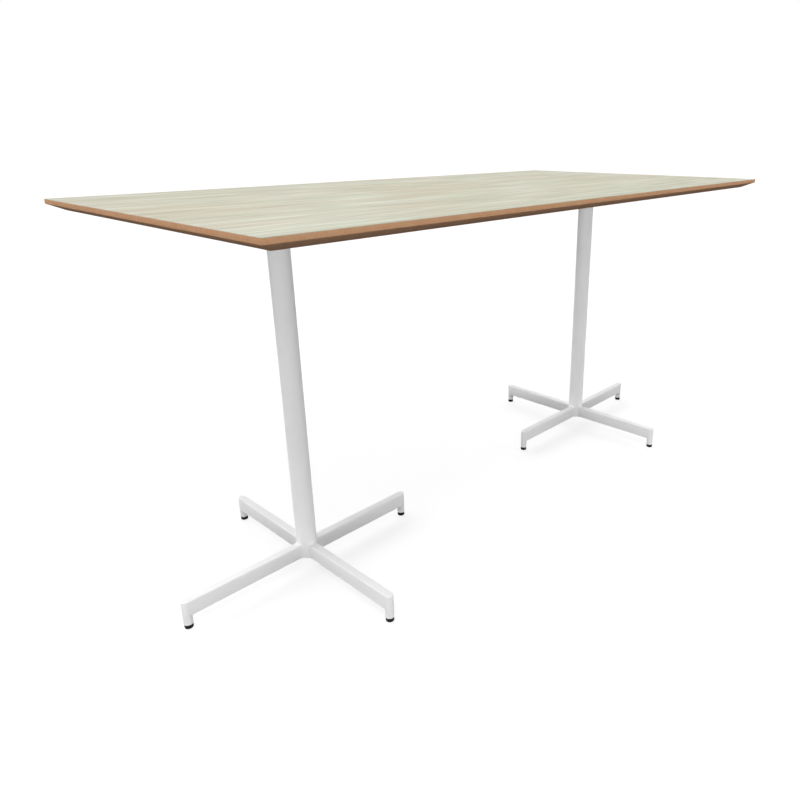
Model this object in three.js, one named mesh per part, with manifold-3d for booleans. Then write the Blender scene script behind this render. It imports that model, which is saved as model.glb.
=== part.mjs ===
// A standing-height meeting table: a laminated top with a bevelled hardwood edge on two white pedestals.
// Each pedestal is a round column on a cross of four arms, and each arm ends in a post on a levelling glide.
// Millimetres, +Z up. The origin is on the floor under the middle of the top, and +X runs along its length.
import * as THREE from "three";
import { mergeVertices } from "three/addons/utils/BufferGeometryUtils.js";
import Module from "manifold-3d";

// Overall size of the table
const LENGTH = 2133.6;
const WIDTH = 1066.8;
const HEIGHT = 1066.8;

// Layers and edge of the top
const TOP_THICKNESS = 30;
const LAMINATE_THICKNESS = 0.8;
const BACKER_THICKNESS = 0.8;
const EDGE_FACE = 12.3; // upright face of the edge, laminate included
const BEVEL_INSET = 38; // how far the bevel under the edge runs in
const LIPPING_FLAT = 8; // flat underside of a lipping, between its bevel and the core
const GLUE_LINE = 0.1; // film of glue between bonded faces
const MITRE_GAP = 0.3; // between the lippings' ends at a corner

// Columns and the plates that carry the top
const END_OVERHANG = 355.6; // from a column axis to the nearer end of the top
const COLUMN_DIAMETER = 59;
const COLUMN_WALL = 2.5;
const PLATE_LENGTH = 400; // across the table
const PLATE_WIDTH = 250; // along the table
const PLATE_THICKNESS = 5;
const PLATE_CORNER = 16;
const WELD_GAP = 0.3; // between pieces that are welded together
const SEAT_GAP = 0.1; // between faces that bear on each other

// Screws that hold each plate to the top
const SCREW_ROWS = 3; // along each long side of the plate
const SCREW_MARGIN = 25; // from a hole's centre to the plate's edge
const SCREW_LENGTH = 22; // under the head
const SCREW_DIAMETER = 5;
const SCREW_TIP = 4;
const SCREW_HEAD_DIAMETER = 11;
const SCREW_HEAD_HEIGHT = 3.2;
const SCREW_HEAD_ROUND = 1.6;
const SCREW_DRIVE = 3; // side of the square recess in the head
const SCREW_DRIVE_DEPTH = 2;
const SCREW_CLEARANCE = 0.3; // around and beyond a screw in its hole

// Arms and foot posts
const ARM_TOP = 82; // above the floor
const ARM_WIDTH = 24;
const ARM_HEIGHT = 43.5;
const ARM_WALL = 2;
const ARM_CORNER = 2;
const ARM_INNER_CORNER = 1;
const FOOT_RADIUS = 373; // from the column axis to a post axis
const POST_DIAMETER = 24;
const POST_EDGE = 2; // rounding round a post's top

// Levelling glides: a nylon pad turns on the disc at the foot of a threaded stem
const PAD_DIAMETER = 23;
const PAD_EDGE = 3; // rounding round the pad's underside
const PAD_SOLE = 2.4; // nylon under the disc
const PAD_ROOF = 2.4; // nylon over the disc
const PAD_CLEARANCE = 0.3; // around the disc and the neck
const DISC_DIAMETER = 14;
const DISC_HEIGHT = 3;
const NECK_DIAMETER = 8;
const COLLAR_FLATS = 19; // across the flats of the hexagon that a spanner turns
const COLLAR_HEIGHT = 3.4;
const THREAD_DIAMETER = 10;
const THREAD_LENGTH = 34;
const THREAD_CHAMFER = 1;
const THREAD_CLEARANCE = 0.2; // around the thread in the post's bore
const BORE_SPARE = 2; // bore left over above the stem's end

// Facets on the round forms
const COLUMN_SIDES = 64;
const POST_SIDES = 36;
const GLIDE_SIDES = 28;
const SCREW_SIDES = 16;
const ARC_STEPS = 4; // on a quarter round
const OVERCUT = 1; // how far a cutter runs past what it cuts

// Places and levels worked out from the sizes above
const columnSpacing = LENGTH - 2 * END_OVERHANG;
const topUnderside = HEIGHT - TOP_THICKNESS;
const laminateUnderside = HEIGHT - LAMINATE_THICKNESS;
const lippingTop = laminateUnderside - GLUE_LINE;
const coreUnderside = topUnderside + BACKER_THICKNESS + GLUE_LINE;
const lippingWidth = BEVEL_INSET + LIPPING_FLAT;
const plateTop = topUnderside - SEAT_GAP;
const plateUnderside = plateTop - PLATE_THICKNESS;
const screwSeat = plateUnderside - SEAT_GAP;
const armUnderside = ARM_TOP - ARM_HEIGHT;
const socketHeight = DISC_HEIGHT + 2 * PAD_CLEARANCE;
const padHeight = PAD_SOLE + socketHeight + PAD_ROOF;
const collarUnderside = padHeight + SEAT_GAP;
const collarTop = collarUnderside + COLLAR_HEIGHT;
const postUnderside = collarTop + SEAT_GAP;

const laminateFinish = new THREE.MeshStandardMaterial({ color: 0xd6d2c0, roughness: 0.45, metalness: 0 });
const edgeFinish = new THREE.MeshStandardMaterial({ color: 0xb98660, roughness: 0.5, metalness: 0 });
const boardFinish = new THREE.MeshStandardMaterial({ color: 0xb59a70, roughness: 0.85, metalness: 0 });
const backerFinish = new THREE.MeshStandardMaterial({ color: 0xc9c6bb, roughness: 0.6, metalness: 0 });
const powderCoat = new THREE.MeshStandardMaterial({ color: 0xebebe9, roughness: 0.5, metalness: 0 });
const nylonFinish = new THREE.MeshStandardMaterial({ color: 0x161616, roughness: 0.55, metalness: 0 });
const blackSteel = new THREE.MeshStandardMaterial({ color: 0x2b2b2d, roughness: 0.4, metalness: 1 });
const zincSteel = new THREE.MeshStandardMaterial({ color: 0xb9bcc0, roughness: 0.35, metalness: 1 });

const wasm = await Module();
wasm.setup();

// The closed solid inside a geometry, ready to be cut or joined.
function solidOf(geometry) {
  const bare = geometry.clone();
  bare.deleteAttribute("normal");
  bare.deleteAttribute("uv");
  const merged = mergeVertices(bare);
  return new wasm.Manifold(
    new wasm.Mesh({
      numProp: 3,
      vertProperties: merged.attributes.position.array,
      triVerts: new Uint32Array(merged.index.array),
    }),
  );
}

// The geometry of a solid that has been cut or joined.
function geometryOf(solid) {
  const { vertProperties, triVerts } = solid.getMesh();
  const geometry = new THREE.BufferGeometry();
  geometry.setAttribute("position", new THREE.BufferAttribute(vertProperties, 3));
  geometry.setIndex(new THREE.BufferAttribute(triVerts, 1));
  geometry.computeVertexNormals();
  return geometry;
}

// One geometry with others cut out of it.
function cut(geometry, cutters) {
  return geometryOf(cutters.reduce((rest, cutter) => rest.subtract(solidOf(cutter)), solidOf(geometry)));
}

// An upright cylinder from one level to another, centred on x, y.
function upright(radius, bottom, top, sides, x = 0, y = 0) {
  const cylinder = new THREE.CylinderGeometry(radius, radius, top - bottom, sides);
  return cylinder.rotateX(Math.PI / 2).translate(x, y, (bottom + top) / 2);
}

// A solid turned about Z from a profile of [radius, level] pairs that runs anticlockwise.
function turned(profile, sides) {
  const points = profile.map(([radius, level]) => new THREE.Vector2(radius, level));
  return new THREE.LatheGeometry(points, sides).rotateX(Math.PI / 2);
}

// Points on a quarter round of a profile, from one angle in degrees to another.
function quarterRound(centreRadius, centreLevel, radius, fromDegrees, toDegrees) {
  return Array.from({ length: ARC_STEPS + 1 }, (_, step) => {
    const degrees = fromDegrees + ((toDegrees - fromDegrees) * step) / ARC_STEPS;
    const angle = THREE.MathUtils.degToRad(degrees);
    return [centreRadius + radius * Math.cos(angle), centreLevel + radius * Math.sin(angle)];
  });
}

// A rectangle about the origin with rounded corners.
function roundedRectangle(width, height, corner) {
  const x = width / 2 - corner;
  const y = height / 2 - corner;
  const outline = new THREE.Shape();
  outline.absarc(x, y, corner, 0, Math.PI / 2);
  outline.absarc(-x, y, corner, Math.PI / 2, Math.PI);
  outline.absarc(-x, -y, corner, Math.PI, 1.5 * Math.PI);
  outline.absarc(x, -y, corner, 1.5 * Math.PI, 2 * Math.PI);
  outline.closePath();
  return outline;
}

// A flat sheet of a given outline from one level to another.
function sheet(outline, bottom, top) {
  const settings = { depth: top - bottom, bevelEnabled: false, curveSegments: ARC_STEPS };
  return new THREE.ExtrudeGeometry(outline, settings).translate(0, 0, bottom);
}

// A plain board about the Z axis from one level to another.
function board(length, width, bottom, top) {
  return new THREE.BoxGeometry(length, width, top - bottom).translate(0, 0, (bottom + top) / 2);
}

// Where the screws of both plates go, as x, y pairs.
function screwPlaces() {
  const x = PLATE_WIDTH / 2 - SCREW_MARGIN;
  const reach = PLATE_LENGTH / 2 - SCREW_MARGIN;
  const rows = Array.from({ length: SCREW_ROWS }, (_, row) => -reach + (2 * reach * row) / (SCREW_ROWS - 1));
  return rows.flatMap((y) => [-x, x].map((side) => [side, y]));
}

// The screw holes of both plates, in the frame of the top.
function pilotHoles(top) {
  const radius = SCREW_DIAMETER / 2 + SCREW_CLEARANCE;
  return [-1, 1].flatMap((side) =>
    screwPlaces().map(([x, y]) =>
      upright(radius, topUnderside - OVERCUT, top, SCREW_SIDES, x + (side * columnSpacing) / 2, y),
    ),
  );
}

// The decorative sheet that covers the whole top, the lippings included.
function laminate() {
  return board(LENGTH, WIDTH, laminateUnderside, HEIGHT);
}

// The particle board inside the lippings, with a blind pilot hole for each screw.
function core() {
  const frame = 2 * (lippingWidth + GLUE_LINE);
  const slab = board(LENGTH - frame, WIDTH - frame, coreUnderside, lippingTop);
  return cut(slab, pilotHoles(screwSeat + SCREW_LENGTH + SCREW_CLEARANCE));
}

// The balancing sheet under the core, which the screws pass through.
function backer() {
  const frame = 2 * (lippingWidth + GLUE_LINE);
  const slab = board(LENGTH - frame, WIDTH - frame, topUnderside, topUnderside + BACKER_THICKNESS);
  return cut(slab, pilotHoles(coreUnderside + OVERCUT));
}

// A hardwood lipping along X with its outer face at y = 0: an upright face over a bevel that runs in,
// with both ends mitred, so that a point further in lies that much nearer the middle.
function lipping(length) {
  const section = new THREE.Shape();
  section.moveTo(0, lippingTop);
  section.lineTo(0, HEIGHT - EDGE_FACE);
  section.lineTo(BEVEL_INSET, topUnderside);
  section.lineTo(lippingWidth, topUnderside);
  section.lineTo(lippingWidth, lippingTop);
  section.closePath();
  const bar = new THREE.ExtrudeGeometry(section, { depth: 1, bevelEnabled: false });
  const place = bar.getAttribute("position");
  const setback = MITRE_GAP / Math.SQRT2;
  for (let corner = 0; corner < place.count; corner += 1) {
    const inset = place.getX(corner);
    const end = place.getZ(corner) < 0.5 ? -1 : 1;
    place.setXYZ(corner, end * (length / 2 - inset - setback), inset, place.getY(corner));
  }
  return bar;
}

// The round tube of a pedestal, from the arms' underside up to the plate.
function column() {
  const outer = COLUMN_DIAMETER / 2;
  const inner = outer - COLUMN_WALL;
  const top = plateUnderside - WELD_GAP;
  const profile = [
    [inner, armUnderside],
    [outer, armUnderside],
    [outer, top],
    [inner, top],
    [inner, armUnderside],
  ];
  return turned(profile, COLUMN_SIDES);
}

// The steel plate on a column, drilled for the screws into the top.
function plate() {
  const outline = roundedRectangle(PLATE_WIDTH, PLATE_LENGTH, PLATE_CORNER);
  const radius = SCREW_DIAMETER / 2 + SCREW_CLEARANCE;
  const holes = screwPlaces().map(([x, y]) =>
    upright(radius, plateUnderside - OVERCUT, plateTop + OVERCUT, SCREW_SIDES, x, y),
  );
  return cut(sheet(outline, plateUnderside, plateTop), holes);
}

// A pan-head wood screw, pointing up from its seat at level 0, with a square recess in its head.
function screw() {
  const head = SCREW_HEAD_DIAMETER / 2;
  const shank = SCREW_DIAMETER / 2;
  const profile = [
    [0, -SCREW_HEAD_HEIGHT],
    ...quarterRound(head - SCREW_HEAD_ROUND, SCREW_HEAD_ROUND - SCREW_HEAD_HEIGHT, SCREW_HEAD_ROUND, -90, 0),
    [head, 0],
    [shank, 0],
    [shank, SCREW_LENGTH - SCREW_TIP],
    [0, SCREW_LENGTH],
  ];
  const recessTop = SCREW_DRIVE_DEPTH - SCREW_HEAD_HEIGHT;
  const recess = board(SCREW_DRIVE, SCREW_DRIVE, -SCREW_HEAD_HEIGHT - OVERCUT, recessTop);
  return cut(turned(profile, SCREW_SIDES), [recess]);
}

// A rectangular tube along X, hollowed at one end to fit the column and at the other to fit its post.
function arm() {
  const outline = roundedRectangle(ARM_WIDTH, ARM_HEIGHT, ARM_CORNER);
  outline.holes.push(roundedRectangle(ARM_WIDTH - 2 * ARM_WALL, ARM_HEIGHT - 2 * ARM_WALL, ARM_INNER_CORNER));
  const along = new THREE.Matrix4().makeBasis(
    new THREE.Vector3(0, 1, 0),
    new THREE.Vector3(0, 0, 1),
    new THREE.Vector3(1, 0, 0),
  );
  const tube = sheet(outline, 0, FOOT_RADIUS).applyMatrix4(along).translate(0, 0, ARM_TOP - ARM_HEIGHT / 2);
  const bottom = armUnderside - OVERCUT;
  const top = ARM_TOP + OVERCUT;
  return cut(tube, [
    upright(COLUMN_DIAMETER / 2 + WELD_GAP, bottom, top, COLUMN_SIDES),
    upright(POST_DIAMETER / 2 + WELD_GAP, bottom, top, POST_SIDES, FOOT_RADIUS),
  ]);
}

// A solid round post, bored from below for the stem of its glide.
function post() {
  const radius = POST_DIAMETER / 2;
  const bore = THREAD_DIAMETER / 2 + THREAD_CLEARANCE;
  const boreTop = collarTop + THREAD_LENGTH + BORE_SPARE;
  const profile = [
    [0, boreTop],
    [bore, boreTop],
    [bore, postUnderside],
    [radius, postUnderside],
    ...quarterRound(radius - POST_EDGE, ARM_TOP - POST_EDGE, POST_EDGE, 0, 90),
    [0, ARM_TOP],
  ];
  return turned(profile, POST_SIDES);
}

// The nylon pad of a glide, moulded round the disc of its stem.
function pad() {
  const radius = PAD_DIAMETER / 2;
  const neck = NECK_DIAMETER / 2 + PAD_CLEARANCE;
  const socket = DISC_DIAMETER / 2 + PAD_CLEARANCE;
  const socketTop = PAD_SOLE + socketHeight;
  const profile = [
    [0, 0],
    ...quarterRound(radius - PAD_EDGE, PAD_EDGE, PAD_EDGE, -90, 0),
    [radius, padHeight],
    [neck, padHeight],
    [neck, socketTop],
    [socket, socketTop],
    [socket, PAD_SOLE],
    [0, PAD_SOLE],
  ];
  return turned(profile, GLIDE_SIDES);
}

// The steel stem of a glide: a disc in the pad, a hexagon collar under the post and a thread up inside it.
function stem() {
  const disc = DISC_DIAMETER / 2;
  const neck = NECK_DIAMETER / 2;
  const thread = THREAD_DIAMETER / 2;
  const discBottom = PAD_SOLE + PAD_CLEARANCE;
  const discTop = discBottom + DISC_HEIGHT;
  const collarMiddle = (collarUnderside + collarTop) / 2;
  const end = collarTop + THREAD_LENGTH;
  const profile = [
    [0, discBottom],
    [disc, discBottom],
    [disc, discTop],
    [neck, discTop],
    [neck, collarMiddle],
    [thread, collarMiddle],
    [thread, end - THREAD_CHAMFER],
    [thread - THREAD_CHAMFER, end],
    [0, end],
  ];
  const corners = COLLAR_FLATS / Math.sqrt(3);
  const collar = upright(corners, collarUnderside, collarTop, 6);
  return geometryOf(solidOf(turned(profile, GLIDE_SIDES)).add(solidOf(collar)));
}

function named(name, geometry, material) {
  const mesh = new THREE.Mesh(geometry, material);
  mesh.name = name;
  return mesh;
}

const table = new THREE.Group();
table.add(named("top_laminate", laminate(), laminateFinish));
table.add(named("top_core", core(), boardFinish));
table.add(named("top_backer", backer(), backerFinish));

// Each lipping is turned so that its outer face looks out over its own side of the table.
const sides = [
  { name: "front", length: LENGTH, turn: 0, x: 0, y: -WIDTH / 2 },
  { name: "right", length: WIDTH, turn: Math.PI / 2, x: LENGTH / 2, y: 0 },
  { name: "rear", length: LENGTH, turn: Math.PI, x: 0, y: WIDTH / 2 },
  { name: "left", length: WIDTH, turn: -Math.PI / 2, x: -LENGTH / 2, y: 0 },
];
for (const { name, length, turn, x, y } of sides) {
  const mesh = named(`${name}_edge_lipping`, lipping(length), edgeFinish);
  mesh.position.set(x, y, 0);
  mesh.rotation.z = turn;
  table.add(mesh);
}

// An arm, its post and its glide, reaching out along +X from the column axis.
function foot(name) {
  const group = new THREE.Group();
  group.add(named(`${name}_arm`, arm(), powderCoat));
  const end = new THREE.Group();
  end.position.x = FOOT_RADIUS;
  end.add(named(`${name}_post`, post(), powderCoat));
  end.add(named(`${name}_glide_pad`, pad(), nylonFinish));
  end.add(named(`${name}_glide_stem`, stem(), blackSteel));
  group.add(end);
  return group;
}

// A pedestal about its column axis: side is -1 for the left one and 1 for the right one.
function pedestal(name, side) {
  const group = new THREE.Group();
  group.position.x = (side * columnSpacing) / 2;
  group.add(named(`${name}_column`, column(), powderCoat));
  group.add(named(`${name}_top_plate`, plate(), powderCoat));
  screwPlaces().forEach(([x, y], index) => {
    const mesh = named(`${name}_plate_screw_${index + 1}`, screw(), zincSteel);
    mesh.position.set(x, y, screwSeat);
    group.add(mesh);
  });
  const outward = side > 0 ? 0 : Math.PI;
  const turns = { outer: outward, rear: Math.PI / 2, inner: Math.PI - outward, front: -Math.PI / 2 };
  for (const [place, turn] of Object.entries(turns)) {
    const leg = foot(`${name}_${place}`);
    leg.rotation.z = turn;
    group.add(leg);
  }
  return group;
}

table.add(pedestal("left", -1));
table.add(pedestal("right", 1));

export default table;
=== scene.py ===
import bmesh
import bpy
import numpy as np
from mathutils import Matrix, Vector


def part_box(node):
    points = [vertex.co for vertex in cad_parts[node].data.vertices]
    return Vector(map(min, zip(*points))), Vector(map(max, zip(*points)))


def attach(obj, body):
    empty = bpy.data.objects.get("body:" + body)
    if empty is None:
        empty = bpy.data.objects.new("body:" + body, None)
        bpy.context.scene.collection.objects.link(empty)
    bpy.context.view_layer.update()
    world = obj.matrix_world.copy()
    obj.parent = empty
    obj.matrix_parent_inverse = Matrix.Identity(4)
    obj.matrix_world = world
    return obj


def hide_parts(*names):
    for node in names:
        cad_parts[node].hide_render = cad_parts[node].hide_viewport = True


# A standing-height meeting table: a laminated top with a bevelled hardwood edge on two white pedestals.
# Metres, +Z up; the origin is on the floor under the middle of the top, and +X runs along its length.
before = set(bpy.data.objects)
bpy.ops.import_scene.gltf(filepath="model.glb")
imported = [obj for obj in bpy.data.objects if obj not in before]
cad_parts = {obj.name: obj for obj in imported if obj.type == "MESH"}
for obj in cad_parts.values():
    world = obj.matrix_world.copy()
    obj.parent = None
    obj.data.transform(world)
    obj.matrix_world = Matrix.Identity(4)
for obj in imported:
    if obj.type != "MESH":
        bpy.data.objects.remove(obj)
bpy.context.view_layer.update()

# Columns
# Each pedestal stands on one round steel tube, sawn square at both ends. Its foot is welded to the four
# arms and its head to the plate under the top, and all of it is powder coated white as one piece.
PEDESTALS = ("left", "right")
COLUMN_WALL = 0.0025
COLUMN_EASE = 0.0006
COLUMN_SIDES = 128
MERGE = 1e-7


def linear(code):
    """Linear RGBA of an sRGB hex code: the standard curve, straight near black and a power of 2.4 above."""
    s = np.array([int(code[i:i + 2], 16) for i in (1, 3, 5)]) / 255
    return (*np.where(s <= 0.04045, s / 12.92, ((s + 0.055) / 1.055) ** 2.4).tolist(), 1.0)


def add(tree, kind, inputs=(), **settings):
    """One shader node: its settings are attributes, and each input is a value or another node's output."""
    made = tree.nodes.new("ShaderNode" + kind)
    for name, value in settings.items():
        setattr(made, name, value)
    for socket, value in dict(inputs).items():
        if isinstance(value, bpy.types.NodeSocket):
            tree.links.new(value, made.inputs[socket])
        else:
            made.inputs[socket].default_value = value
    return made


def finish(name, **shader):
    """An empty material with its tree, its Principled shader and its Object coordinates."""
    material = bpy.data.materials.new(name)
    material.use_nodes = True
    tree = material.node_tree
    surface = tree.nodes["Principled BSDF"]
    for socket, value in shader.items():
        surface.inputs[socket.replace("_", " ")].default_value = value
    return material, tree, surface, add(tree, "TexCoord").outputs["Object"]


def lead(tree, surface, **outputs):
    """Leads outputs of nodes into the shader's sockets of the same names."""
    for socket, output in outputs.items():
        tree.links.new(output, surface.inputs[socket.replace("_", " ")])


def piece(name, points, material, body, slot, *nodes, along=False, crease=30):
    """A piece of the table from a grid of points, rows along and columns around.

    Neighbouring rows and columns are joined by four-sided faces, the last column to the first and, for a
    piece closed along, the last row to the first; a row that meets in one point becomes a pole. Edges that
    turn by more than the crease angle stay sharp, and the rest are shaded smooth.
    """
    rows, columns = points.shape[:2]
    index = np.arange(rows * columns).reshape(rows, columns)
    index = np.column_stack([index, index[:, :1]])
    if along:
        index = np.vstack([index, index[:1]])
    faces = np.stack([index[:-1, :-1], index[:-1, 1:], index[1:, 1:], index[1:, :-1]], -1).reshape(-1, 4)
    mesh = bpy.data.meshes.new(name)
    mesh.from_pydata(points.reshape(-1, 3).tolist(), [], faces.tolist())
    shell = bmesh.new()
    shell.from_mesh(mesh)
    bmesh.ops.remove_doubles(shell, verts=shell.verts, dist=MERGE)
    bmesh.ops.recalc_face_normals(shell, faces=shell.faces)
    shell.to_mesh(mesh)
    shell.free()
    mesh.shade_smooth()
    mesh.set_sharp_from_angle(angle=np.radians(crease))
    mesh.materials.append(material)
    made = bpy.data.objects.new(name, mesh)
    bpy.context.collection.objects.link(made)
    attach(made, body)
    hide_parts(*nodes)
    return made


def turned(profile, centre, sides):
    """A profile of (radius, level) rows turned about an upright axis: x, y = centre + radius (cos, sin)."""
    turn = np.linspace(0, 2 * np.pi, sides, endpoint=False)
    radius = np.array([np.broadcast_to(row[0], sides) for row in profile])
    level = np.array([np.broadcast_to(row[1], sides) for row in profile])
    return np.stack([centre[0] + radius * np.cos(turn), centre[1] + radius * np.sin(turn), level], -1)


# White polyester powder coat on steel: an even, neutral white with a faint orange-peel surface, which
# softens reflections and leaves the tone a little uneven. Orange peel is 1 to 3 mm across; it is drawn at
# 3 mm, the coarse end, so that it shows.
PEEL = 0.003
CLOUD = 0.12
powder_coat, tree, surface, where = finish("white_powder_coat", IOR=1.5, Specular_IOR_Level=0.2)
peel = add(tree, "TexNoise", {"Vector": where, "Scale": 1 / PEEL, "Detail": 2.0, "Roughness": 0.45})
cloud = add(tree, "TexNoise", {"Vector": where, "Scale": 1 / CLOUD, "Detail": 3.0, "Roughness": 0.55})
tone = add(tree, "Mix", {0: cloud.outputs[0], 6: linear("#EFEFEF"), 7: linear("#F5F5F5")}, data_type="RGBA")
gloss = add(tree, "MapRange", {"Value": peel.outputs[0], "To Min": 0.40, "To Max": 0.54})
dimples = add(tree, "Bump", {"Height": peel.outputs[0], "Strength": 0.12, "Distance": 0.0003})
lead(tree, surface, Base_Color=tone.outputs[2], Roughness=gloss.outputs[0], Normal=dimples.outputs[0])

axes = {}
for side in PEDESTALS:
    low, high = map(np.array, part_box(f"{side}_column"))
    axes[side] = (low + high)[:2] / 2
    column_radius = (high - low)[0] / 2
    bore = column_radius - COLUMN_WALL
    tube = [
        (bore, low[2]),
        (column_radius - COLUMN_EASE, low[2]),
        (column_radius, low[2] + COLUMN_EASE),
        (column_radius, high[2]),
        (bore, high[2]),
    ]
    piece(f"{side}_column_tube", turned(tube, axes[side], COLUMN_SIDES), powder_coat, "table", "powder_coat",
          f"{side}_column", along=True)

# Arms
# Four lengths of rectangular steel tube stand out from the foot of each column in a cross. Each is coped
# to the round of the column at one end and of its foot post at the other, and welded there.
DIRECTIONS = {"outer": (1, 0), "rear": (0, 1), "inner": (-1, 0), "front": (0, -1)}
ARM_WALL = 0.002
ARM_CORNER = 0.002
CORNER_STEPS = 6
FLAT_STEPS = 10


def heading(side, place):
    """Unit vector from a column's axis towards one of its feet; outer points away from the other column."""
    x, y = DIRECTIONS[place]
    return np.array([-x if side == "left" else x, y], float)


def rounded_rectangle(width, height, corner):
    """Points (across, up) round a rectangle about the origin: a quarter circle at each corner, and even
    steps along the flats between them, so that an end cut on the outline can follow a round."""
    quarter = np.linspace(0, np.pi / 2, CORNER_STEPS + 1)
    turn = np.concatenate([quarter + k * np.pi / 2 for k in range(4)])
    sign = np.repeat(np.array([[1, 1], [-1, 1], [-1, -1], [1, -1]]), CORNER_STEPS + 1, axis=0)
    middle = sign * np.array([width / 2 - corner, height / 2 - corner])
    rounds = (middle + corner * np.stack([np.cos(turn), np.sin(turn)], -1)).reshape(4, -1, 2)
    share = np.linspace(0, 1, FLAT_STEPS + 1)[None, 1:-1, None]
    flats = rounds[:, -1:] * (1 - share) + np.roll(rounds, -1, axis=0)[:, :1] * share
    return np.concatenate([rounds, flats], 1).reshape(-1, 2)


def set_out(side, place, along, across, up):
    """Points of the table from lengths along an arm's centre line, across it, and up from the floor."""
    forward = heading(side, place)
    sideways = np.array([-forward[1], forward[0]])
    flat = axes[side] + along[..., None] * forward + across[..., None] * sideways
    return np.concatenate([flat, np.broadcast_to(up, along.shape)[..., None]], -1)


def arm_tube(side, place, width, low, high, reach, post_radius):
    """A tube whose ends are coped: at a distance a across, it runs from the column's round, at the root of
    column radius squared less a squared, to the post's round, at reach less the like root for the post. The
    inside of the wall has tighter corners, and its rows run back, so that the tube closes on itself."""
    rows = []
    for shrink in (0, ARM_WALL):
        outline = rounded_rectangle(width - 2 * shrink, high - low - 2 * shrink, ARM_CORNER - shrink / 2)
        across, up = outline[:, 0], outline[:, 1] + (low + high) / 2
        start = np.sqrt(column_radius**2 - across**2)
        end = reach - np.sqrt(np.maximum(post_radius**2 - across**2, 0))
        ends = [set_out(side, place, start, across, up), set_out(side, place, end, across, up)]
        rows += ends if shrink == 0 else ends[::-1]
    return np.array(rows)


feet = [(side, place) for side in PEDESTALS for place in DIRECTIONS]
low, high = map(np.array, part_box("left_front_post"))
post_radius = (high - low)[0] / 2
reach = abs((low + high)[1] / 2)
low, high = map(np.array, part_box("left_front_arm"))
arm_width = (high - low)[0]
arm_low, arm_high = low[2], high[2]
for side, place in feet:
    points = arm_tube(side, place, arm_width, arm_low, arm_high, reach, post_radius)
    piece(f"{side}_{place}_arm_tube", points, powder_coat, "table", "powder_coat",
          f"{side}_{place}_arm", along=True)

# Weld beads
# A slim fillet of weld runs right round each arm where it meets the column, and round the column under its
# plate. It was laid in overlapping ripples and lies under the same coat of white.
BEAD = 0.0016
BEAD_SIDES = 10
RIPPLE = 0.003
RIPPLE_SWELL = 0.1
ARM_WELD_STEPS = 220
PLATE_WELD_STEPS = 320


def bead(path, closed_length, radius):
    """A rope of weld along a closed path: circles square to the path, with a radius that swells and shrinks
    by a small share once in each ripple."""
    ahead = np.roll(path, -1, axis=0) - np.roll(path, 1, axis=0)
    ahead /= np.linalg.norm(ahead, axis=1, keepdims=True)
    outward = path - path.mean(axis=0)
    outward -= ahead * np.sum(outward * ahead, axis=1, keepdims=True)
    outward /= np.linalg.norm(outward, axis=1, keepdims=True)
    beside = np.cross(ahead, outward)
    count = round(closed_length / RIPPLE)
    swell = 1 + RIPPLE_SWELL * np.cos(2 * np.pi * count * np.arange(len(path)) / len(path))
    turn = np.linspace(0, 2 * np.pi, BEAD_SIDES, endpoint=False)
    circle = np.cos(turn)[None, :, None] * outward[:, None] + np.sin(turn)[None, :, None] * beside[:, None]
    return path[:, None] + radius * swell[:, None, None] * circle


def evenly(corners, count):
    """A closed run of corner points walked at an even pace: count points at equal steps of its length."""
    loop = np.vstack([corners, corners[:1]])
    run = np.concatenate([[0], np.cumsum(np.linalg.norm(np.diff(loop, axis=0), axis=1))])
    steps = np.linspace(0, run[-1], count, endpoint=False)
    return np.stack([np.interp(steps, run, loop[:, i]) for i in range(3)], -1), run[-1]


for side, place in feet:
    outline = rounded_rectangle(arm_width, arm_high - arm_low, ARM_CORNER)
    across, up = outline[:, 0], outline[:, 1] + (arm_low + arm_high) / 2
    seam = set_out(side, place, np.sqrt(column_radius**2 - across**2), across, up)
    path, length = evenly(seam, ARM_WELD_STEPS)
    piece(f"{side}_{place}_arm_weld", bead(path, length, BEAD), powder_coat, "table", "powder_coat",
          along=True)
for side in PEDESTALS:
    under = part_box(f"{side}_column")[1][2]
    ring = turned([(column_radius, under)], axes[side], PLATE_WELD_STEPS)[0]
    weld = bead(ring, 2 * np.pi * column_radius, BEAD)
    piece(f"{side}_plate_weld", weld, powder_coat, "table", "powder_coat", along=True)

# Foot posts
# Each arm ends in a short solid post of round bar, turned from steel, with a softened rim on top that is
# level with the arm and a threaded bore in its underside for the glide.
POST_RIM = 0.002
POST_FOOT_EASE = 0.0008
POST_SIDES = 96
POST_TOP_RINGS = (0.008, 0.005, 0.0)
BORE = 0.0052
BORE_DEPTH = 0.0359
quarter = np.linspace(0, np.pi / 2, CORNER_STEPS + 1)


def crown(distance, top):
    """Level of the ground top at a distance from its middle: flat, then down a quarter circle at the rim."""
    past = np.clip(distance - (post_radius - POST_RIM), 0, POST_RIM)
    return top - POST_RIM + np.sqrt(POST_RIM**2 - past**2)


for side, place in feet:
    low, high = map(np.array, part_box(f"{side}_{place}_post"))
    forward = heading(side, place)
    turn = np.linspace(0, 2 * np.pi, POST_SIDES, endpoint=False) - np.arctan2(forward[1], forward[0])
    # Towards the arm the top goes on with the arm's own rounded edges, and away from it with a round rim.
    spread = np.where(np.cos(turn) < 0, np.abs(np.sin(turn)), 1.0)
    rings = np.concatenate([post_radius - POST_RIM + POST_RIM * np.cos(quarter), POST_TOP_RINGS])
    profile = [
        (0, low[2] + BORE_DEPTH),
        (BORE, low[2] + BORE_DEPTH),
        (BORE, low[2] + POST_FOOT_EASE),
        (BORE + POST_FOOT_EASE, low[2]),
        (post_radius - POST_FOOT_EASE, low[2]),
        (post_radius, low[2] + POST_FOOT_EASE),
        *[(ring, crown(ring * spread, high[2])) for ring in rings],
    ]
    post = turned(profile, (low + high)[:2] / 2, POST_SIDES)
    piece(f"{side}_{place}_foot_post", post, powder_coat, "table", "powder_coat", f"{side}_{place}_post")

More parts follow.
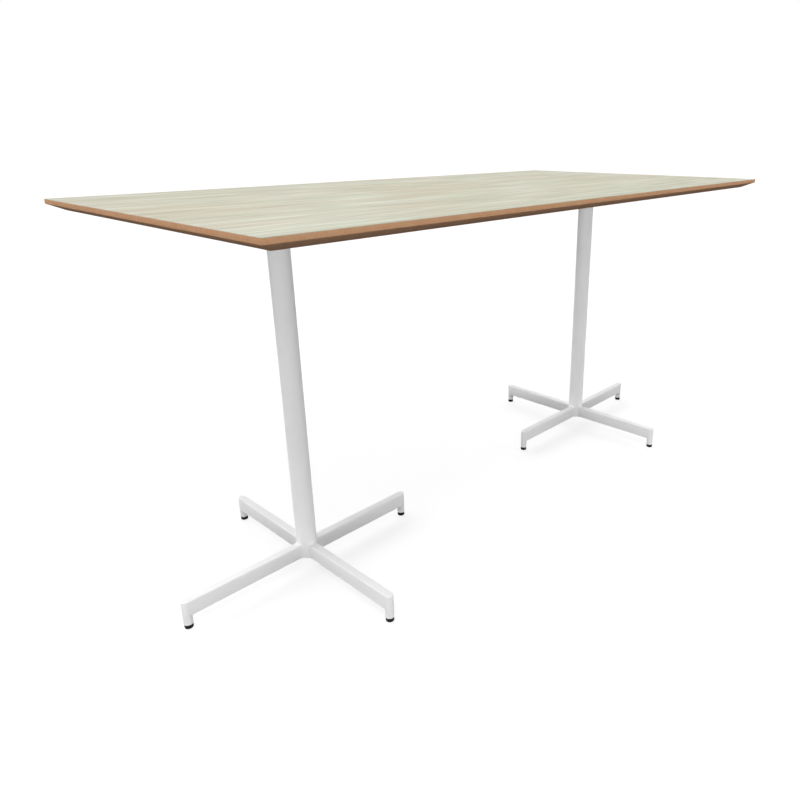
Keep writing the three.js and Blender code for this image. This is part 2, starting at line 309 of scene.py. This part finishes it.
# Levelling glides
# Under each post a black nylon pad is moulded round the disc of a steel stem, so that the pad stays still
# on the floor while a spanner on the stem's hexagon collar screws the stem up or down in the post.
GLIDE_SIDES = 72
# The pad: its rounded sole and eased upper rim, and the hollow that holds the stem's disc below a throat.
PAD_ROUND = 0.003
PAD_EASE = 0.0007
PAD_THROAT = 0.0043
PAD_HOLLOW = 0.0073
HOLLOW_LOW, HOLLOW_HIGH = 0.0024, 0.006
# The stem: its disc, neck and chamfered collar, and its thread between a bare groove and a blunt point.
DISC = 0.007
DISC_EASE = 0.0002
DISC_TOP = 0.0055
NECK = 0.004
COLLAR_FLATS = 0.019
COLLAR_CORNERS = 0.0103
COLLAR_LOW, COLLAR_HIGH = 0.0085, 0.0119
CHAMFER_IN, CHAMFER_UP = 0.0004, 0.0005
PITCH = 0.0015
THREAD = 0.005
THREAD_DEPTH = 0.0009
STEPS_PER_PITCH = 8
FLANK_SLOPE, ROOT_FLAT = 1.3, 0.1
THREAD_GROOVE = 0.0004
STEM_POINT = 0.0008
STEM_POINT_IN = 0.0006

# Black moulded nylon: nearly black, with the dull, finely pitted skin of a spark-eroded mould and a paler,
# scuffed rim near the floor. The pits, about 0.3 mm, are drawn at 0.8 mm so that they show.
PIT = 0.0008
SCUFF = 0.004
SCUFF_HEIGHT = 0.004
nylon, tree, surface, where = finish("black_moulded_nylon", IOR=1.53, Specular_IOR_Level=0.15)
pits = add(tree, "TexNoise", {"Vector": where, "Scale": 1 / PIT, "Detail": 2.0})
scuff = add(tree, "TexNoise", {"Vector": where, "Scale": 1 / SCUFF, "Detail": 4.0, "Roughness": 0.65})
level = add(tree, "SeparateXYZ", {"Vector": where})
near_floor = add(tree, "MapRange", {"Value": level.outputs["Z"], "From Min": SCUFF_HEIGHT, "From Max": 0.0,
                                    "To Max": 0.6})
worn = add(tree, "Math", {0: near_floor.outputs[0], 1: scuff.outputs[0]}, operation="MULTIPLY")
tone = add(tree, "Mix", {0: worn.outputs[0], 6: linear("#0E0E0E"), 7: linear("#232220")}, data_type="RGBA")
gloss = add(tree, "MapRange", {"Value": scuff.outputs[0], "To Min": 0.42, "To Max": 0.68})
skin = add(tree, "Bump", {"Height": pits.outputs[0], "Strength": 0.25, "Distance": 0.0002})
lead(tree, surface, Base_Color=tone.outputs[2], Roughness=gloss.outputs[0], Normal=skin.outputs[0])

# Black-oxide steel: a dark grey conversion finish that lets the metal shine through, streaked round the
# turned parts by the tool and a little oily. The tool's lines are drawn 0.3 mm apart so that they show.
TOOL_LINE = 0.0003
TOOL_RUN = 0.004
black_steel, tree, surface, where = finish("black_oxide_steel", Metallic=1.0)
stretch = add(tree, "Mapping", {"Vector": where, "Scale": (1 / TOOL_RUN, 1 / TOOL_RUN, 1 / TOOL_LINE)})
lines = add(tree, "TexNoise", {"Vector": stretch.outputs[0], "Scale": 1.0, "Detail": 2.0})
tone = add(tree, "Mix", {0: lines.outputs[0], 6: linear("#1E1E20"), 7: linear("#3C3C3F")}, data_type="RGBA")
gloss = add(tree, "MapRange", {"Value": lines.outputs[0], "To Min": 0.28, "To Max": 0.50})
ridges = add(tree, "Bump", {"Height": lines.outputs[0], "Strength": 0.15, "Distance": 0.0001})
lead(tree, surface, Base_Color=tone.outputs[2], Roughness=gloss.outputs[0], Normal=ridges.outputs[0])


def hexagon(flats, sides, turn):
    """Radius of a hexagon at each turn: half the width across flats over the cosine of the turn from the
    middle of the nearest flat."""
    angle = np.linspace(0, 2 * np.pi, sides, endpoint=False) - turn
    return flats / 2 / np.cos((angle + np.pi / 6) % (np.pi / 3) - np.pi / 6)


def screw_thread(low, high, radius, depth, pitch, sides):
    """Rows up a right-hand thread: the radius falls by the depth and comes back once in each pitch, in a
    triangle wave cut flat at crest and root, and the whole wave climbs by one pitch in each turn. The thread
    fades in and out over the first and the last pitch."""
    turn = np.linspace(0, 1, sides, endpoint=False)
    levels = np.linspace(low, high, round((high - low) / pitch * STEPS_PER_PITCH) + 1)
    wave = np.abs(2 * ((levels[:, None] / pitch - turn) % 1) - 1)
    flanks = np.clip(FLANK_SLOPE * wave - ROOT_FLAT, 0, 1)
    fade = np.clip(np.minimum(levels - low, high - levels) / pitch, 0, 1)[:, None]
    return list(zip(radius - depth * (1 - fade * flanks), levels))


for side, place in feet:
    low, high = map(np.array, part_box(f"{side}_{place}_glide_pad"))
    centre = (low + high)[:2] / 2
    rim = (high - low)[0] / 2
    sole = [(rim - PAD_ROUND + PAD_ROUND * np.sin(a), PAD_ROUND - PAD_ROUND * np.cos(a)) for a in quarter]
    top = high[2]
    pad = [
        (0, low[2]),
        *sole,
        (rim, top - PAD_EASE),
        (rim - PAD_EASE, top),
        (PAD_THROAT, top),
        (PAD_THROAT, HOLLOW_HIGH),
        (PAD_HOLLOW, HOLLOW_HIGH),
        (PAD_HOLLOW, HOLLOW_LOW),
        (0, HOLLOW_LOW),
    ]
    piece(f"{side}_{place}_glide_foot", turned(pad, centre, GLIDE_SIDES), nylon, f"{side}_{place}_pad",
          "glide_nylon", f"{side}_{place}_glide_pad")
    low, high = map(np.array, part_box(f"{side}_{place}_glide_stem"))
    forward = heading(side, place)
    flat_turn = np.arctan2(forward[1], forward[0])
    six = hexagon(COLLAR_FLATS, GLIDE_SIDES, flat_turn)
    chamfered = np.minimum(six, COLLAR_CORNERS) - CHAMFER_IN
    root = THREAD - THREAD_DEPTH
    thread_low, thread_high = COLLAR_HIGH + THREAD_GROOVE, high[2] - STEM_POINT
    stem = [
        (0, low[2]),
        (DISC - DISC_EASE, low[2]),
        (DISC, low[2] + DISC_EASE),
        (DISC, DISC_TOP),
        (NECK, DISC_TOP + DISC_EASE),
        (NECK, COLLAR_LOW),
        (chamfered, COLLAR_LOW),
        (six, COLLAR_LOW + CHAMFER_UP),
        (six, COLLAR_HIGH - CHAMFER_UP),
        (chamfered, COLLAR_HIGH),
        (root, COLLAR_HIGH),
        *screw_thread(thread_low, thread_high, THREAD, THREAD_DEPTH, PITCH, GLIDE_SIDES),
        (root - STEM_POINT_IN, high[2]),
        (0, high[2]),
    ]
    piece(f"{side}_{place}_levelling_stem", turned(stem, centre, GLIDE_SIDES), black_steel,
          f"{side}_{place}_stem", "black_steel", f"{side}_{place}_glide_stem")

# Plates that carry the top
# A rounded steel plate is welded to the head of each column and drilled for six screws into the board. The
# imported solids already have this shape, and take the same white coat.


def face(node, material):
    """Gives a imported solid, whose shape stays as it is, a finish in place of its plain one."""
    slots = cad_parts[node].data.materials
    slots.clear()
    slots.append(material)


for side in PEDESTALS:
    face(f"{side}_top_plate", powder_coat)

# Core and balancing sheet of the top
# The top is a slab of particle board, faced underneath with a plain sheet that keeps it from bowing. The
# screws pass through the sheet into blind holes in the board.

# Raw particle board: pressed straw-coloured chips, 1 to 5 mm long, lying flat, with darker bark specks.
CHIP = 0.004
CHIP_DUST = 0.002
particle_board, tree, surface, where = finish("raw_particle_board", IOR=1.45, Roughness=0.85)
chips = add(tree, "TexVoronoi", {"Vector": where, "Scale": 1 / CHIP})
dust = add(tree, "TexNoise", {"Vector": where, "Scale": 1 / CHIP_DUST, "Detail": 3.0})
mixed = add(tree, "Mix", {0: dust.outputs[0], 6: chips.outputs["Color"], 7: linear("#808080")},
            data_type="RGBA")
tone = add(tree, "Mix", {0: mixed.outputs[2], 6: linear("#8E7148"), 7: linear("#D2B98C")}, data_type="RGBA")
rough = add(tree, "Bump", {"Height": chips.outputs["Distance"], "Strength": 0.3, "Distance": 0.0005})
lead(tree, surface, Base_Color=tone.outputs[2], Normal=rough.outputs[0])
face("top_core", particle_board)

# Plain balancing laminate: an off-white melamine sheet with faint fibres of the paper under the resin and
# a dull, lightly pebbled press texture. The pebbles, about 0.5 mm, are drawn at 2 mm so that they show.
FIBRE = 0.006
PEBBLE = 0.002
backing, tree, surface, where = finish("plain_balancing_laminate", IOR=1.5)
fibres = add(tree, "TexNoise", {"Vector": where, "Scale": 1 / FIBRE, "Detail": 5.0, "Roughness": 0.6})
pebble = add(tree, "TexNoise", {"Vector": where, "Scale": 1 / PEBBLE, "Detail": 1.0})
tone = add(tree, "Mix", {0: fibres.outputs[0], 6: linear("#C4C0B4"), 7: linear("#D2CFC5")}, data_type="RGBA")
gloss = add(tree, "MapRange", {"Value": pebble.outputs[0], "To Min": 0.52, "To Max": 0.68})
press = add(tree, "Bump", {"Height": pebble.outputs[0], "Strength": 0.1, "Distance": 0.0002})
lead(tree, surface, Base_Color=tone.outputs[2], Roughness=gloss.outputs[0], Normal=press.outputs[0])
face("top_backer", backing)

# Edge lippings
# Four lengths of solid hardwood are glued round the board and mitred at the corners. Each shows a narrow
# upright face and, below it, a long bevel that runs in under the top and makes it look thin.
LIPPING_WIDTH = 0.046
BEVEL_INSET = 0.038
EDGE_FACE = 0.0123
LIPPING_EASE = 0.0006
MITRE_SETBACK = 0.00012
ROUND_SHARE = 0.29
EDGE_CREASE = 20

# Lacquered orange-brown hardwood: an even ground with short, fine pores and flecks that stand across the
# narrow face, darker growth bands a few centimetres apart, and a lacquer too flat to mirror the floor.
# Pores are under 0.5 mm wide; they are drawn 1.6 mm wide so that they show.
PORE_WIDTH, PORE_LENGTH = 0.0016, 0.012
GROWTH_WIDTH, GROWTH_LENGTH = 0.035, 0.06
hardwood, tree, surface, where = finish("matt_lacquered_hardwood", IOR=1.5, Specular_IOR_Level=0.0)
run = add(tree, "UVMap", uv_map="run").outputs[0]
pore_space = add(tree, "Mapping", {"Vector": run, "Scale": (1 / PORE_WIDTH, 1 / PORE_LENGTH, 1)})
pores = add(tree, "TexNoise", {"Vector": pore_space.outputs[0], "Scale": 1.0, "Detail": 3.0,
                               "Roughness": 0.6})
band_space = add(tree, "Mapping", {"Vector": run, "Scale": (1 / GROWTH_WIDTH, 1 / GROWTH_LENGTH, 1)})
bands = add(tree, "TexNoise", {"Vector": band_space.outputs[0], "Scale": 1.0, "Detail": 2.0})
ground = add(tree, "Mix", {0: bands.outputs[0], 6: linear("#C5966F"), 7: linear("#D3A987")}, data_type="RGBA")
fleck = add(tree, "MapRange", {"Value": pores.outputs[0], "From Min": 0.35, "From Max": 0.75, "To Max": 0.55})
grained = add(tree, "Mix", {0: fleck.outputs[0], 6: ground.outputs[2], 7: linear("#AB7B5A")},
              data_type="RGBA")
# Below the foot of the upright face the bevel, cut aslant through the fibres, is multiplied to a darker,
# greyer brown: painted shade for the shade that falls on it, facing down under the top.
level = add(tree, "SeparateXYZ", {"Vector": where})
face_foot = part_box("top_laminate")[1][2] - EDGE_FACE
painted_bevel_shade = add(tree, "MapRange", {"Value": level.outputs["Z"], "From Min": face_foot,
                                "From Max": face_foot - LIPPING_EASE})
tone = add(tree, "Mix", {0: painted_bevel_shade.outputs[0], 6: grained.outputs[2], 7: linear("#EAEFFA")}, data_type="RGBA",
           blend_type="MULTIPLY")
gloss = add(tree, "MapRange", {"Value": pores.outputs[0], "To Min": 0.38, "To Max": 0.52})
open_pores = add(tree, "Bump", {"Height": pores.outputs[0], "Strength": 0.12, "Distance": 0.0002})
lead(tree, surface, Base_Color=tone.outputs[2], Roughness=gloss.outputs[0], Normal=open_pores.outputs[0])


def eased(corners, ease):
    """A closed section with each corner rounded off by three points: the corner moved by the ease towards
    each neighbour, and between these the corner moved by a share of both moves."""
    before = np.roll(corners, 1, axis=0) - corners
    after = np.roll(corners, -1, axis=0) - corners
    before *= ease / np.linalg.norm(before, axis=1, keepdims=True)
    after *= ease / np.linalg.norm(after, axis=1, keepdims=True)
    middle = corners + ROUND_SHARE * (before + after)
    return np.stack([corners + before, middle, corners + after], 1).reshape(-1, 2)


low, high = map(np.array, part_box("top_laminate"))
half = {"front": high[0], "right": high[1], "rear": high[0], "left": high[1]}
edge_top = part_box("front_edge_lipping")[1][2]
edge_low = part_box("front_edge_lipping")[0][2]
section = eased(np.array([
    [0, edge_top],
    [0, face_foot],
    [BEVEL_INSET, edge_low],
    [LIPPING_WIDTH, edge_low],
    [LIPPING_WIDTH, edge_top],
]), LIPPING_EASE)
inset, up = section[:, 0], section[:, 1]
for edge, (x, y) in {"front": (0, -1), "right": (1, 0), "rear": (0, 1), "left": (-1, 0)}.items():
    # A section carried along a straight path whose ends are mitred: each point stops short by its own inset.
    stations = np.array([-1.0, 1.0])[:, None] * (half[edge] - inset - MITRE_SETBACK)
    outward = np.array([x, y], float)
    onward = np.array([-y, x], float)
    depth = (abs(x) * high[0] + abs(y) * high[1]) - inset
    flat = stations[..., None] * onward + depth[None, :, None] * outward
    points = np.concatenate([flat, np.broadcast_to(up, stations.shape)[..., None]], -1)
    caps = points.mean(axis=1, keepdims=True)
    points = np.concatenate([np.repeat(caps[:1], len(inset), 1), points, np.repeat(caps[1:], len(inset), 1)])
    made = piece(f"{edge}_edge_wood", points, hardwood, "table", "edge_wood", f"{edge}_edge_lipping",
                 crease=EDGE_CREASE)
    # The UV map is in metres: U along the piece, and V across its faces, inset and level together.
    mesh = made.data
    spot = np.empty(len(mesh.vertices) * 3)
    mesh.vertices.foreach_get("co", spot)
    spot = spot.reshape(-1, 3)
    corner = np.empty(len(mesh.loops), int)
    mesh.loops.foreach_get("vertex_index", corner)
    sideways = np.abs(spot[:, :2] @ outward) - spot[:, 2]
    grain = np.stack([spot[:, :2] @ onward, sideways], -1)[corner]
    layer = mesh.uv_layers.new(name="run")
    layer.data.foreach_set("uv", grain.ravel())

# Decorative laminate
# One sheet of high-pressure laminate covers the whole top, the lippings too, and is trimmed flush with
# their faces. It is printed with a pale, streaky wood whose grain runs the length of the table.
SHEET_EASE = 0.0003
SHEET_ROUND = 0.3
COOL_FROM, COOL_TO = -0.30, -0.46

# Pale printed wood laminate: long soft streaks of grey-beige, a greener beige and a bluish white, some as
# wide as a hand and some no wider than a finger, under a dull melamine skin with next to no sheen.
printed_wood, tree, surface, where = finish("pale_wood_grain_laminate", IOR=1.5, Specular_IOR_Level=0.01)
# Length and width in metres of each kind of figure in the print, with its detail and its shift.
figure = {}
for kind, length, width, detail, shift in (
    ("patch", 0.60, 0.11, 2.0, (1.7, 0.4, 0.0)),
    ("hue", 0.60, 0.16, 2.0, (5.2, 3.1, 0.0)),
    ("streak", 0.55, 0.040, 3.0, (2.3, 8.8, 0.0)),
    ("line", 0.22, 0.010, 3.0, (7.9, 6.4, 0.0)),
):
    space = add(tree, "Mapping", {"Vector": where, "Scale": (1 / length, 1 / width, 1), "Location": shift})
    figure[kind] = add(tree, "TexNoise", {"Vector": space.outputs[0], "Scale": 1.0, "Detail": detail,
                                          "Roughness": 0.55, "Distortion": 0.1}).outputs[0]
depth = add(tree, "MapRange", {"Value": figure["patch"], "From Min": 0.36, "From Max": 0.64})
ground = add(tree, "Mix", {0: depth.outputs[0], 6: linear("#BAB69F"), 7: linear("#D0CFC1")}, data_type="RGBA")
warm = add(tree, "MapRange", {"Value": figure["hue"], "From Min": 0.35, "From Max": 0.65})
wash = add(tree, "Mix", {0: warm.outputs[0], 6: linear("#BDC3B4"), 7: linear("#CBBDAC")}, data_type="RGBA")
washed = add(tree, "Mix", {0: 0.45, 6: ground.outputs[2], 7: wash.outputs[2]}, data_type="RGBA")
# The strip along the front edge is cooler, with more of the bluish white in it.
across = add(tree, "SeparateXYZ", {"Vector": where})
front = add(tree, "MapRange", {"Value": across.outputs["Y"], "From Min": COOL_FROM, "From Max": COOL_TO})
cool = add(tree, "MapRange", {"Value": front.outputs[0], "To Min": 0.5, "To Max": 0.75})
cooled = add(tree, "MapRange", {"Value": front.outputs[0], "To Max": 0.5})
strip = add(tree, "Mix", {0: cooled.outputs[0], 6: washed.outputs[2], 7: linear("#BDC0AF")}, data_type="RGBA")
beige = add(tree, "MapRange", {"Value": figure["streak"], "From Min": 0.5, "From Max": 0.3, "To Max": 0.7})
warmed = add(tree, "Mix", {0: beige.outputs[0], 6: strip.outputs[2], 7: linear("#BDB29A")}, data_type="RGBA")
light = add(tree, "MapRange", {"Value": figure["streak"], "From Min": 0.48, "From Max": 0.74,
                               "To Max": cool.outputs[0]})
lit = add(tree, "Mix", {0: light.outputs[0], 6: warmed.outputs[2], 7: linear("#D7DACD")}, data_type="RGBA")
fine = add(tree, "MapRange", {"Value": figure["line"], "From Min": 0.42, "From Max": 0.70, "To Max": 0.85})
tone = add(tree, "Mix", {0: fine.outputs[0], 6: lit.outputs[2], 7: linear("#A7A798")}, data_type="RGBA")
gloss = add(tree, "MapRange", {"Value": figure["line"], "To Min": 0.44, "To Max": 0.56})
emboss = add(tree, "Bump", {"Height": figure["line"], "Strength": 0.06, "Distance": 0.0002})
lead(tree, surface, Base_Color=tone.outputs[2], Roughness=gloss.outputs[0], Normal=emboss.outputs[0])

# A rectangle carried up through the sheet: each row is the outline times a share at one level, a little
# under one at the eased upper edge, and nought in the middle of both faces.
outline = np.array([[1, 1], [-1, 1], [-1, -1], [1, -1]]) * high[:2]
rows = [
    (0.0, low[2]),
    (1.0, low[2]),
    (1.0, high[2] - SHEET_EASE),
    (1 - SHEET_ROUND * SHEET_EASE, high[2] - SHEET_ROUND * SHEET_EASE),
    (1 - SHEET_EASE, high[2]),
    (0.0, high[2]),
]
points = np.array([np.column_stack([outline * share, np.full(4, level)]) for share, level in rows])
piece("top_laminate_sheet", points, printed_wood, "table", "laminate", "top_laminate", crease=EDGE_CREASE)

# Plate screws
# Six pan-head wood screws hold each plate to the board from below. Each is cold-formed steel with bright
# zinc plating, a square recess in its head and a coarse thread.

# Bright zinc on steel: a cool, pale, slightly clouded metal, duller in some places than in others.
ZINC_CLOUD = 0.003
zinc, tree, surface, where = finish("bright_zinc_steel", Metallic=1.0)
clouds = add(tree, "TexNoise", {"Vector": where, "Scale": 1 / ZINC_CLOUD, "Detail": 3.0})
tone = add(tree, "Mix", {0: clouds.outputs[0], 6: linear("#AEB2B8"), 7: linear("#CDD0D3")}, data_type="RGBA")
gloss = add(tree, "MapRange", {"Value": clouds.outputs[0], "To Min": 0.22, "To Max": 0.42})
lead(tree, surface, Base_Color=tone.outputs[2], Roughness=gloss.outputs[0])

SCREWS = 6
SCREW_SIDES = 48
HEAD = 0.0055
HEAD_HEIGHT = 0.0032
HEAD_ROUND = 0.0016
RECESS = 0.0015
RECESS_DEPTH = 0.002
RECESS_EASE = 0.0001
SCREW_ROOT = 0.0018
SCREW_THREAD = 0.0025
SCREW_PITCH = 0.0022
SCREW_RUNOUT = 0.0002
SCREW_POINT = 0.004
# Radius of the square recess at each turn: half its width over the larger of the turn's cosine and sine.
turn = np.linspace(0, 2 * np.pi, SCREW_SIDES, endpoint=False)
square = RECESS / np.maximum(np.abs(np.cos(turn)), np.abs(np.sin(turn)))
for side in PEDESTALS:
    for number in range(1, SCREWS + 1):
        node = f"{side}_plate_screw_{number}"
        low, high = map(np.array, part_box(node))
        under = low[2]
        seat = under + HEAD_HEIGHT
        thread_low, thread_high = seat + SCREW_RUNOUT, high[2] - SCREW_POINT
        shape = [
            (0, under + RECESS_DEPTH),
            (square, under + RECESS_DEPTH),
            (square, under + RECESS_EASE),
            (square + RECESS_EASE, under),
            *[(HEAD - HEAD_ROUND * (1 - np.sin(a)), under + HEAD_ROUND * (1 - np.cos(a))) for a in quarter],
            (HEAD, seat),
            (SCREW_ROOT, seat),
            *screw_thread(thread_low, thread_high, SCREW_THREAD, SCREW_THREAD - SCREW_ROOT, SCREW_PITCH,
                          SCREW_SIDES),
            (0, high[2]),
        ]
        screw = turned(shape, (low + high)[:2] / 2, SCREW_SIDES)
        piece(f"{side}_wood_screw_{number}", screw, zinc, "table", "zinc_steel", node)

# Floor, light and camera
# A seamless white studio floor under a dim dome with soft bands of light and one large lamp overhead, seen by
# a camera a little higher than the top, off one corner.
FLOOR_HALF = 60
FLOOR_SHADOW = 0.34
FLOOR_GLOW = 0.72
FLOOR_BOUNCE = 0.06
floor_mesh = bpy.data.meshes.new("studio_floor")
corners = [(x * FLOOR_HALF, y * FLOOR_HALF, 0) for x, y in ((-1, -1), (1, -1), (1, 1), (-1, 1))]
floor_mesh.from_pydata(corners, [], [(0, 1, 2, 3)])
floor = bpy.data.objects.new("studio_floor", floor_mesh)
bpy.context.collection.objects.link(floor)


def seen_white(tree):
    """One for a ray from the camera, a gloss or a glass, and nought for a ray that lights the table: the
    largest of the three flags. Floor and dome look white to the first kind, so metal shows them white too."""
    rays = add(tree, "LightPath").outputs
    seen = add(tree, "Math", {0: rays["Is Camera Ray"], 1: rays["Is Glossy Ray"]}, operation="MAXIMUM")
    seen = add(tree, "Math", {0: seen.outputs[0], 1: rays["Is Transmission Ray"]}, operation="MAXIMUM")
    return seen.outputs[0]


# White paper floor: to the eye it glows nearly white and takes a faint shadow, and to the table it is dark,
# because the bevels get little light from below.
paper = bpy.data.materials.new("white_studio_floor")
paper.use_nodes = True
tree = paper.node_tree
tree.nodes.clear()
glow = add(tree, "Emission", {"Color": linear("#FFFFFF"), "Strength": FLOOR_GLOW})
bright = add(tree, "BsdfDiffuse", {"Color": (FLOOR_SHADOW, FLOOR_SHADOW, FLOOR_SHADOW, 1.0)})
shown = add(tree, "AddShader", {0: glow.outputs[0], 1: bright.outputs[0]})
bounce = add(tree, "BsdfDiffuse", {"Color": (FLOOR_BOUNCE, FLOOR_BOUNCE, FLOOR_BOUNCE, 1.0)})
both = add(tree, "MixShader", {0: seen_white(tree), 1: bounce.outputs[0], 2: shown.outputs[0]})
add(tree, "OutputMaterial", {"Surface": both.outputs[0]})
floor_mesh.materials.append(paper)

world = bpy.data.worlds.new("soft_studio")
world.use_nodes = True
tree = world.node_tree
tree.nodes.clear()
# A dim dome with two brighter parts: a low band along the horizon on the left and in front, which reaches in
# under the top, and a higher one behind and on the right, which lights the upper faces of the arms. A band
# has its middle and its reach as sines of the height above the horizon, and its strength at each side.
DOME = 0.40
LOW_BAND, LOW_REACH, LOW_LEFT, LOW_FRONT = 0.035, 0.075, 8.6, 9.2
HIGH_BAND, HIGH_REACH, HIGH_REAR, HIGH_RIGHT = 0.6, 0.3, 4.0, 1.9
sky = add(tree, "TexCoord").outputs["Generated"]
toward = add(tree, "SeparateXYZ", {"Vector": sky})
left = add(tree, "MapRange", {"Value": toward.outputs["X"], "From Max": -1.0, "To Max": LOW_LEFT})
front = add(tree, "MapRange", {"Value": toward.outputs["Y"], "From Max": -1.0, "To Max": LOW_FRONT})
sides = add(tree, "Math", {0: left.outputs[0], 1: front.outputs[0]}, operation="ADD")
rear = add(tree, "MapRange", {"Value": toward.outputs["Y"], "From Max": 1.0, "To Max": HIGH_REAR})
right = add(tree, "MapRange", {"Value": toward.outputs["X"], "From Max": 1.0, "To Max": HIGH_RIGHT})
behind = add(tree, "Math", {0: rear.outputs[0], 1: right.outputs[0]}, operation="ADD")
strength = DOME
for part, middle, reach in ((sides, LOW_BAND, LOW_REACH), (behind, HIGH_BAND, HIGH_REACH)):
    off = add(tree, "Math", {0: toward.outputs["Z"], 1: middle}, operation="SUBTRACT")
    off = add(tree, "Math", {0: off.outputs[0]}, operation="ABSOLUTE")
    band = add(tree, "MapRange", {"Value": off.outputs[0], "From Max": reach, "To Min": 1.0, "To Max": 0.0})
    more = add(tree, "Math", {0: part.outputs[0], 1: band.outputs[0], 2: strength}, operation="MULTIPLY_ADD")
    strength = more.outputs[0]
dome = add(tree, "Background", {"Color": linear("#FFFFFF"), "Strength": strength})
white = add(tree, "Background", {"Color": linear("#FFFFFF"), "Strength": 1.0})
both = add(tree, "MixShader", {0: seen_white(tree), 1: dome.outputs[0], 2: white.outputs[0]})
add(tree, "OutputWorld", {"Surface": both.outputs[0]})
bpy.context.scene.world = world

lamp = bpy.data.lights.new("soft_key", "AREA")
lamp.shape = "DISK"
lamp.size = 5.0
lamp.energy = 525.0
key = bpy.data.objects.new("soft_key", lamp)
key.location = (-4.2, -3.9, 11.5)
key.rotation_euler = (np.radians(26), 0, np.radians(-50))
bpy.context.collection.objects.link(key)

view = bpy.data.cameras.new("camera")
view.sensor_width = 36
view.lens = 29.86
view.shift_x = -0.09375
view.shift_y = -0.0407
camera = bpy.data.objects.new("camera", view)
camera.location = (-1.6380, -1.5185, 1.2217)
camera.rotation_euler = (np.radians(90 - 19.174), 0, np.radians(-47.845))
bpy.context.collection.objects.link(camera)
bpy.context.scene.camera = camera
bpy.context.scene.view_settings.view_transform = "Standard"
